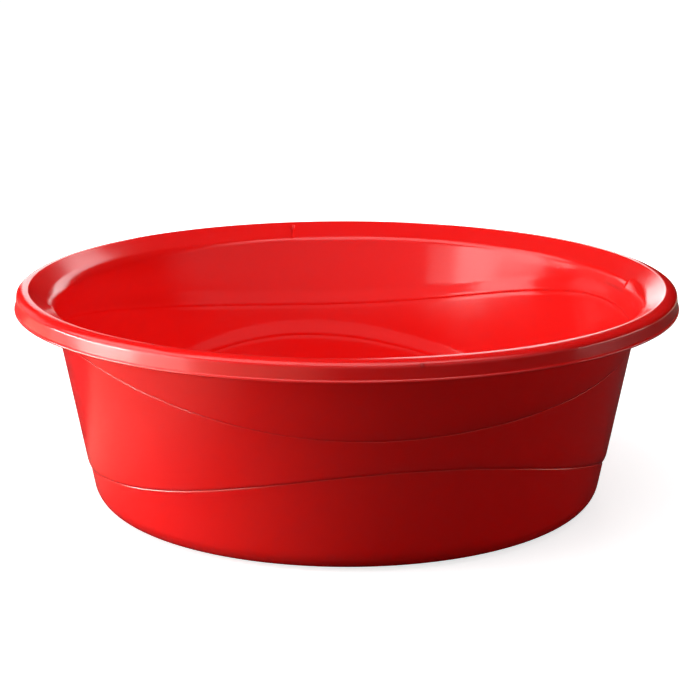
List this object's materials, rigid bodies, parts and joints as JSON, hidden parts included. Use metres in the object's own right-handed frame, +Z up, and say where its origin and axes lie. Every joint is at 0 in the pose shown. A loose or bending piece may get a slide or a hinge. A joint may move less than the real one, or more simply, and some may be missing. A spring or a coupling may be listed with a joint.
{
  "type": "plastic basin",
  "caption": "Round one-piece plastic basin with a flared, turned-down rim, a tapered side crossed by flowing folds, and a foot ring; holds water for washing up, laundry or cleaning.",
  "frame": {"origin": "middle of the underside, on the basin's axis, at the level of the foot ring", "axes": "+Z up out of the bowl, -Y the side that faces the viewer in the picture, +X to the picture's right"},
  "size_m": [0.38, 0.38, 0.126],
  "materials": {
    "basin_plastic": "glossy moulded polypropylene"
  },
  "bodies": {
    "root": {"basin": "basin_plastic"}
  },
  "joints": []
}
